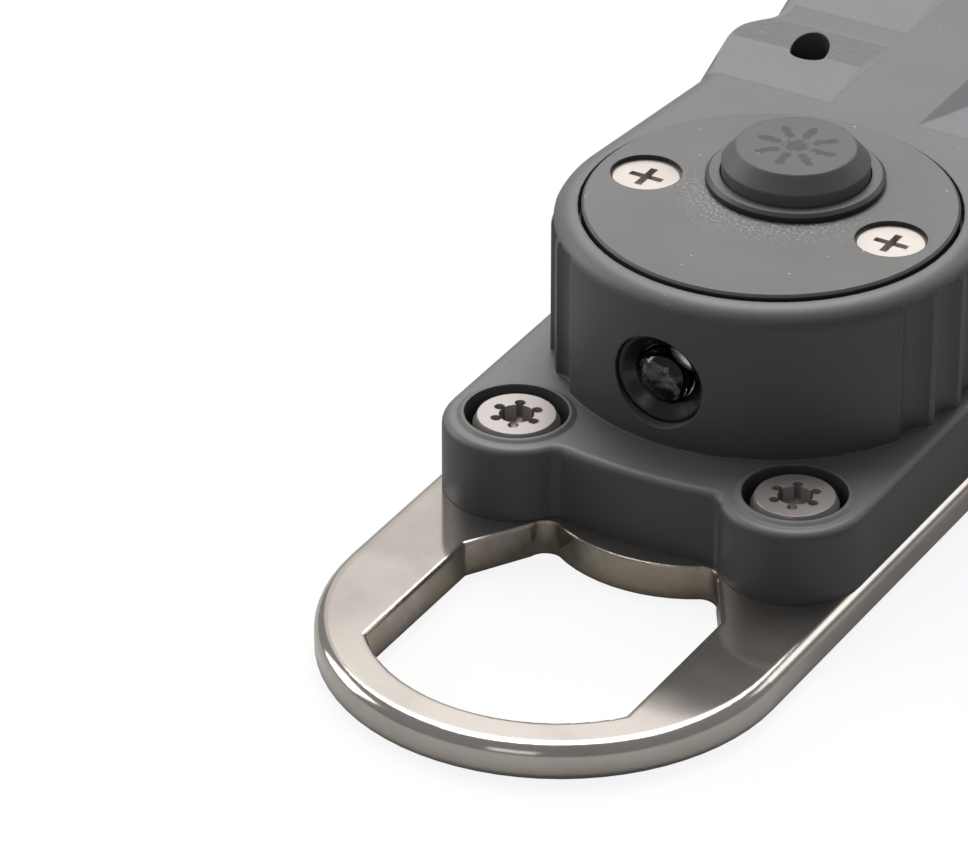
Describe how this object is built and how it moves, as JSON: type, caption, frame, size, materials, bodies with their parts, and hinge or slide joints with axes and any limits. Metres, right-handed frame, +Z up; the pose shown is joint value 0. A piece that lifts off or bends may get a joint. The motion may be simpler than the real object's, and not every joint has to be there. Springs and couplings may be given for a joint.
{
  "type": "digital fish scale",
  "caption": "Hand-held digital fish scale: steel plate with an opener loop, moulded case with lamp, grip and display, and a swivelling hook.",
  "frame": {"origin": "on the lamp tower's axis at the underside of the steel plate", "axes": "+Y along the plate from the loop to the hook, +Z up out of the case, +X to the right"},
  "size_m": [0.0378, 0.2486, 0.026],
  "materials": {
    "plate_steel": "polished stainless steel",
    "case_plastic": "fine grained black glass-filled nylon",
    "cover_plastic": "fine matt black plastic",
    "button_rubber": "firm black rubber",
    "bezel_plastic": "black plastic",
    "screw_steel": "plain stainless steel, lightly worn",
    "seal_rubber": "soft black rubber",
    "lamp_lens": "clear epoxy",
    "holder_plastic": "glossy black plastic",
    "tray_plastic": "black plastic",
    "cell_steel": "nickel plated can",
    "contact_metal": "plated spring brass",
    "board_green": "green board lacquer",
    "switch_plastic": "black switch body",
    "plunger_plastic": "red switch plunger",
    "window_glass": "clear acrylic window",
    "display_glass": "grey green display",
    "strip_rubber": "contact strip rubber",
    "chip_epoxy": "black epoxy",
    "key_rubber": "grey key rubber",
    "cell_alloy": "machined aluminium alloy",
    "zinc_steel": "zinc plated steel",
    "gauge_foil": "amber film",
    "lead_copper": "bare copper",
    "rod_steel": "turned stainless steel",
    "bush_plastic": "white acetal",
    "hook_steel": "polished stainless wire",
    "lead_rubber": "insulated lead"
  },
  "bodies": {
    "case": {"frame_plate": "plate_steel", "main_housing": "case_plastic", "front_screws": "screw_steel", "rear_screws": "screw_steel", "grip_screws": "zinc_steel", "battery_cover": "cover_plastic", "cover_seal": "seal_rubber", "cover_screws": "screw_steel", "button_bezel": "bezel_plastic", "lamp_switch": "switch_plastic", "lamp_board": "board_green", "lamp_led": "lamp_lens", "lamp_holder": "holder_plastic", "battery_tray": "tray_plastic", "coin_cells": "cell_steel", "lower_contact": "contact_metal", "upper_contact": "contact_metal", "display_bezel": "bezel_plastic", "display_window": "window_glass", "lcd_panel": "display_glass", "zebra_strips": "strip_rubber", "main_board": "board_green", "board_screws": "zinc_steel", "board_parts": "chip_epoxy", "key_switches": "switch_plastic", "anchor_block": "cell_alloy", "anchor_screws": "zinc_steel", "anchor_bolt": "zinc_steel", "anchor_washer": "zinc_steel", "load_cell": "cell_alloy", "strain_gauges": "gauge_foil", "gauge_leads": "lead_copper", "pull_rod": "rod_steel", "rod_bush": "bush_plastic", "rod_seal": "seal_rubber", "battery_leads": "lead_rubber"},
    "lamp_button_body": {"lamp_button": "button_rubber", "lamp_plunger": "plunger_plastic"},
    "power_key_body": {"power_key": "key_rubber", "power_plunger": "plunger_plastic"},
    "unit_key_body": {"unit_key": "key_rubber", "unit_plunger": "plunger_plastic"},
    "hold_key_body": {"hold_key": "key_rubber", "hold_plunger": "plunger_plastic"},
    "swivel_body": {"swivel_clevis": "rod_steel", "swivel_pin": "rod_steel"},
    "hook_body": {"hook": "hook_steel"}
  },
  "joints": [
    {"name": "lamp_press", "type": "slide", "parent": "case", "child": "lamp_button_body", "axis": [0, 0, -1], "range_m": [0, 0.0006], "stiffness_N_per_m": 2500, "springref_m": -0.0006},
    {"name": "power_press", "type": "slide", "parent": "case", "child": "power_key_body", "axis": [0, 0, -1], "range_m": [0, 0.0005], "stiffness_N_per_m": 1500, "springref_m": -0.0006},
    {"name": "unit_press", "type": "slide", "parent": "case", "child": "unit_key_body", "axis": [0, 0, -1], "range_m": [0, 0.0005], "stiffness_N_per_m": 1500, "springref_m": -0.0006},
    {"name": "hold_press", "type": "slide", "parent": "case", "child": "hold_key_body", "axis": [0, 0, -1], "range_m": [0, 0.0005], "stiffness_N_per_m": 1500, "springref_m": -0.0006},
    {"name": "swivel_turn", "type": "hinge", "parent": "case", "child": "swivel_body", "pos_m": [0, 0.13595, 0.0085], "axis": [0, 1, 0], "continuous": true},
    {"name": "hook_swing", "type": "hinge", "parent": "swivel_body", "child": "hook_body", "pos_m": [0, 0.14875, 0.0085], "axis": [1, 0, 0], "range_deg": [-95, 110]}
  ]
}
